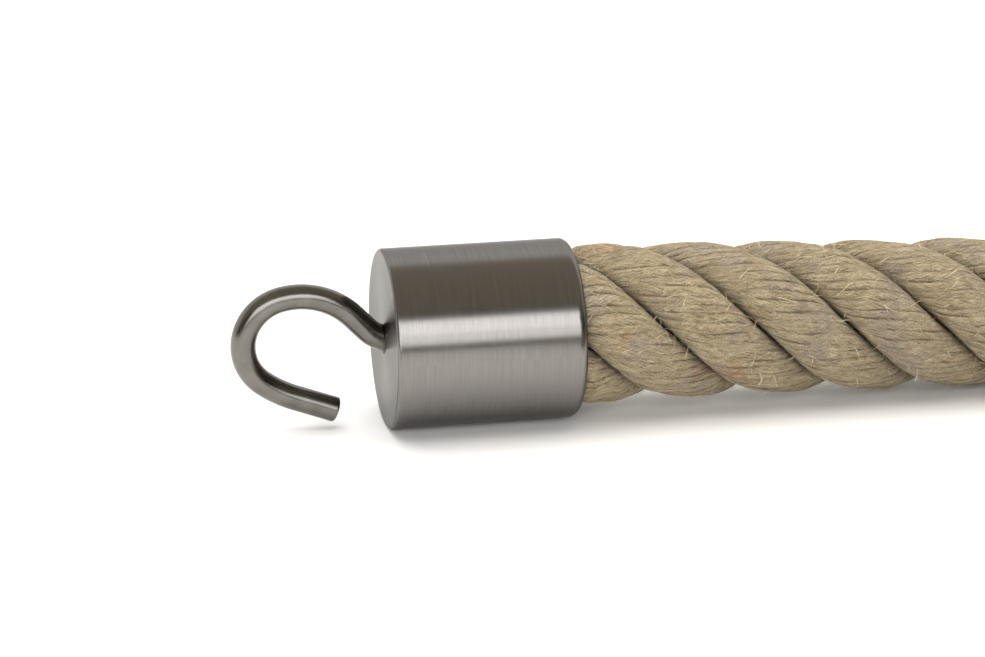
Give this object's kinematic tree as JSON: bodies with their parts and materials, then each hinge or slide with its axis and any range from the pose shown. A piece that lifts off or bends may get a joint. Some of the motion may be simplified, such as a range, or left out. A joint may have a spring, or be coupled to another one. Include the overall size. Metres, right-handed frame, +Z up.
{
  "type": "barrier rope",
  "caption": "Thick laid hemp barrier rope with a turned stainless cap and a swivelling bar hook on each end, to hang between queue or exhibition posts.",
  "frame": {"origin": "centre of hook A's bowl, on the swivel axis of its end cap", "axes": "+X from hook A along its cap into the rope, +Z up from the floor that the caps and the rope lie on"},
  "size_m": [0.5708, 0.4512, 0.0424],
  "materials": {
    "hemp": "matte",
    "cap_steel": "satin",
    "hook_steel": "satin",
    "plated_steel": "satin",
    "nylon": "matte",
    "tape": "matte"
  },
  "bodies": {
    "rope_and_caps": {"rope": "hemp", "rope_heart": "hemp", "cap_a": "cap_steel", "rope_wrap_a": "tape", "grub_screws_a": "plated_steel", "cap_b": "cap_steel", "rope_wrap_b": "tape", "grub_screws_b": "plated_steel"},
    "hook_a_swivelling": {"hook_a": "hook_steel", "washer_a": "plated_steel", "lock_nut_a": "plated_steel", "nut_insert_a": "nylon"},
    "hook_b_swivelling": {"hook_b": "hook_steel", "washer_b": "plated_steel", "lock_nut_b": "plated_steel", "nut_insert_b": "nylon"}
  },
  "joints": [
    {"name": "hook_a_swivel", "type": "hinge", "parent": "rope_and_caps", "child": "hook_a_swivelling", "pos_m": [0.0217, 0, 0], "axis": [1, 0, 0], "continuous": true},
    {"name": "hook_b_swivel", "type": "hinge", "parent": "rope_and_caps", "child": "hook_b_swivelling", "pos_m": [0.37298, -0.05374, 0], "axis": [-0.9991, 0.0434, 0], "continuous": true}
  ]
}
